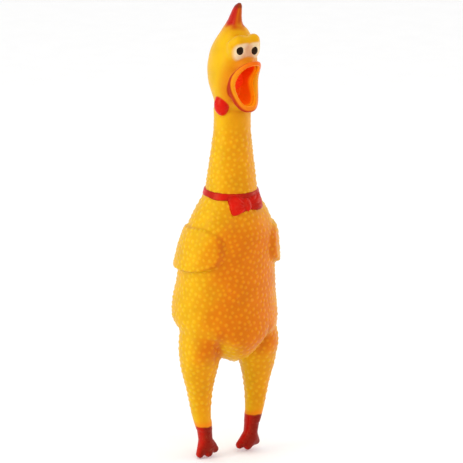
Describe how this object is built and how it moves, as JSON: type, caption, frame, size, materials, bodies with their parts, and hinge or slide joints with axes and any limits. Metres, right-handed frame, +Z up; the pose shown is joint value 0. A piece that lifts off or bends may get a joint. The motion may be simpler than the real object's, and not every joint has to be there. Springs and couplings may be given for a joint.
{
  "type": "rubber chicken",
  "caption": "Squeaking rubber chicken: hollow soft vinyl hen with an open beak, bow tie, floppy neck and legs, and a reed whistle that sounds when the belly is squeezed.",
  "frame": {"origin": "on the neck's upright axis, level with the middle of the belly where a hand grips and squeezes", "axes": "+Z up from the toes to the comb, -Y the way the beak points, +X to the chicken's left"},
  "size_m": [0.0924, 0.0828, 0.39],
  "materials": {
    "skin": "gloss",
    "skin_soft": "gloss",
    "comb_red": "gloss",
    "beak_orange": "gloss",
    "mouth_red": "gloss",
    "eye_white": "gloss",
    "pupil_black": "gloss",
    "collar_red": "gloss",
    "foot_red": "gloss",
    "whistle_plastic": "satin",
    "reed_plastic": "satin"
  },
  "bodies": {
    "torso": {"torso_skin": "skin", "collar_band": "collar_red", "bow": "collar_red", "belly_flex": "skin_soft", "neck_base_flex": "skin_soft", "right_wing": "skin", "left_wing": "skin", "right_thigh_skin": "skin", "left_thigh_skin": "skin", "right_hip_flex": "skin_soft", "left_hip_flex": "skin_soft"},
    "belly": {"belly_panel": "skin"},
    "neck_lower": {"neck_lower_skin": "skin", "neck_mid_flex": "skin_soft"},
    "neck_upper": {"neck_upper_skin": "skin", "neck_top_flex": "skin_soft"},
    "head": {"head_skin": "skin", "beak_rim": "beak_orange", "mouth_lining": "mouth_red", "throat_sleeve": "mouth_red", "right_eye_white": "eye_white", "left_eye_white": "eye_white", "right_pupil": "pupil_black", "left_pupil": "pupil_black", "right_wattle": "comb_red", "left_wattle": "comb_red", "comb_flex": "comb_red", "whistle_tube": "whistle_plastic", "whistle_cap": "whistle_plastic", "reed_block": "whistle_plastic", "reed_wedge": "whistle_plastic"},
    "comb": {"comb": "comb_red"},
    "reed": {"reed": "reed_plastic"},
    "right_leg": {"right_leg_skin": "skin", "right_knee_flex": "skin_soft"},
    "right_shank": {"right_shank_skin": "skin", "right_ankle_flex": "skin_soft"},
    "right_foot": {"right_foot": "foot_red"},
    "left_leg": {"left_leg_skin": "skin", "left_knee_flex": "skin_soft"},
    "left_shank": {"left_shank_skin": "skin", "left_ankle_flex": "skin_soft"},
    "left_foot": {"left_foot": "foot_red"}
  },
  "joints": [
    {"name": "neck_bend", "type": "hinge", "parent": "torso", "child": "neck_lower", "pos_m": [0, 0, 0.1115], "axis": [1, 0, 0], "range_deg": [-30, 30], "stiffness_Nm_per_rad": 0.6, "deforming": ["neck_base_flex"]},
    {"name": "neck_sway", "type": "hinge", "parent": "neck_lower", "child": "neck_upper", "pos_m": [0, 0, 0.1335], "axis": [0, 1, 0], "range_deg": [-30, 30], "stiffness_Nm_per_rad": 0.5, "deforming": ["neck_mid_flex"]},
    {"name": "head_nod", "type": "hinge", "parent": "neck_upper", "child": "head", "pos_m": [0, 0, 0.155], "axis": [1, 0, 0], "range_deg": [-35, 30], "stiffness_Nm_per_rad": 0.4, "deforming": ["neck_top_flex"]},
    {"name": "comb_flop", "type": "hinge", "parent": "head", "child": "comb", "pos_m": [0, -0.004, 0.2437], "axis": [0, 1, 0], "range_deg": [-20, 20], "stiffness_Nm_per_rad": 0.01, "deforming": ["comb_flex"]},
    {"name": "belly_squeeze", "type": "slide", "parent": "torso", "child": "belly", "axis": [0, 1, 0], "range_m": [0, 0.012], "stiffness_N_per_m": 600, "deforming": ["belly_flex"]},
    {"name": "reed_flutter", "type": "hinge", "parent": "head", "child": "reed", "pos_m": [0, -0.0015, 0.19618], "axis": [1, 0, 0], "range_deg": [-3, 2], "stiffness_Nm_per_rad": 0.0001},
    {"name": "right_hip_swing", "type": "hinge", "parent": "torso", "child": "right_leg", "pos_m": [-0.0287, 0.0015, -0.0555], "axis": [1, 0, 0], "range_deg": [-30, 30], "stiffness_Nm_per_rad": 0.15, "deforming": ["right_hip_flex"]},
    {"name": "right_leg_splay", "type": "hinge", "parent": "right_leg", "child": "right_shank", "pos_m": [-0.0277, 0.0002, -0.078], "axis": [0, 1, 0], "range_deg": [-8, 28], "stiffness_Nm_per_rad": 0.08, "deforming": ["right_knee_flex"]},
    {"name": "right_ankle_flex", "type": "hinge", "parent": "right_shank", "child": "right_foot", "pos_m": [-0.025, -0.0008, -0.1], "axis": [1, 0, 0], "range_deg": [-30, 30], "stiffness_Nm_per_rad": 0.03, "deforming": ["right_ankle_flex"]},
    {"name": "left_hip_swing", "type": "hinge", "parent": "torso", "child": "left_leg", "pos_m": [0.0287, 0.0015, -0.0555], "axis": [1, 0, 0], "range_deg": [-30, 30], "stiffness_Nm_per_rad": 0.15, "deforming": ["left_hip_flex"]},
    {"name": "left_leg_splay", "type": "hinge", "parent": "left_leg", "child": "left_shank", "pos_m": [0.0277, 0.0002, -0.078], "axis": [0, -1, 0], "range_deg": [-8, 28], "stiffness_Nm_per_rad": 0.08, "deforming": ["left_knee_flex"]},
    {"name": "left_ankle_flex", "type": "hinge", "parent": "left_shank", "child": "left_foot", "pos_m": [0.025, -0.0008, -0.1], "axis": [1, 0, 0], "range_deg": [-30, 30], "stiffness_Nm_per_rad": 0.03, "deforming": ["left_ankle_flex"]}
  ]
}
